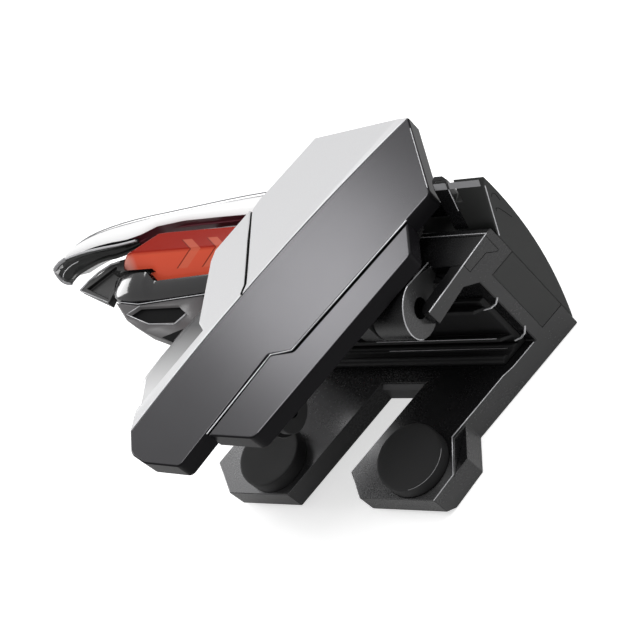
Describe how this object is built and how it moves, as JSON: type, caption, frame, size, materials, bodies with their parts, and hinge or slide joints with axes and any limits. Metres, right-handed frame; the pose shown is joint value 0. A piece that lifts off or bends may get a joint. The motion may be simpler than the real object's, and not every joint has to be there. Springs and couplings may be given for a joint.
{
  "type": "phone gaming trigger button",
  "caption": "Clip-on phone gaming trigger: a sprung rocking lever with a capacitive foot and a side finger trigger, on a padded C-shaped clip.",
  "frame": {"origin": "on the floor below the flat back of the clip, midway between the two round pads", "axes": "+X along the phone's long edge from the finger trigger towards the clip's slanted end, +Y from the fingertips to the web, +Z from the clip's flat back to the lever"},
  "size_m": [0.0638, 0.0404, 0.0254],
  "materials": {
    "moulded_black": "fine satin moulding",
    "cover_black": "satin moulding",
    "rubber_black": "soft matte",
    "dark_paint": "satin metallic paint",
    "silver_paint": "satin silver paint",
    "white_gloss": "high gloss",
    "dark_gloss": "gloss",
    "grey_gloss": "satin gloss",
    "orange_gloss": "gloss with polished edges",
    "maroon": "satin",
    "steel": "bright",
    "spring_steel": "drawn wire",
    "switch_black": "moulded"
  },
  "bodies": {
    "clip": {"clip_frame": "moulded_black", "right_pad": "rubber_black", "left_pad": "rubber_black", "right_plug": "cover_black", "left_plug": "cover_black", "edge_cushion": "rubber_black", "back_cover": "cover_black", "hinge_bracket": "moulded_black", "hinge_pin": "steel", "bracket_screws": "steel", "cover_screws": "steel"},
    "lever": {"top_plate": "dark_paint", "lower_strip": "dark_paint", "far_panel": "silver_paint", "near_panel": "silver_paint", "lever_shell": "white_gloss", "lever_frame": "moulded_black", "lever_screws": "steel", "foot_pin": "steel", "hinge_spring": "spring_steel", "trigger_cradle": "dark_gloss", "trigger_core": "orange_gloss", "lower_housing": "grey_gloss", "recess_insert": "dark_gloss", "lower_lip": "grey_gloss", "cradle_screws": "steel", "click_switch": "switch_black", "hood_pin": "steel", "hood_spring": "spring_steel"},
    "foot": {"touch_foot": "moulded_black", "foot_tip": "rubber_black"},
    "hood": {"trigger_hood": "white_gloss", "hood_liner": "maroon"}
  },
  "joints": [
    {"name": "lever_hinge", "type": "hinge", "parent": "clip", "child": "lever", "pos_m": [0.0101, 0.0103, 0.01916], "axis": [1, 0, 0], "range_deg": [-3, 6], "stiffness_Nm_per_rad": 0.05},
    {"name": "foot_swivel", "type": "hinge", "parent": "lever", "child": "foot", "pos_m": [0.0017, -0.0013, 0.01956], "axis": [1, 0, 0], "range_deg": [-12, 12], "stiffness_Nm_per_rad": 0.002},
    {"name": "hood_press", "type": "hinge", "parent": "lever", "child": "hood", "pos_m": [-0.0039, 0.0239, 0.0185], "axis": [0, 0, 1], "range_deg": [0, 4], "stiffness_Nm_per_rad": 0.02}
  ]
}
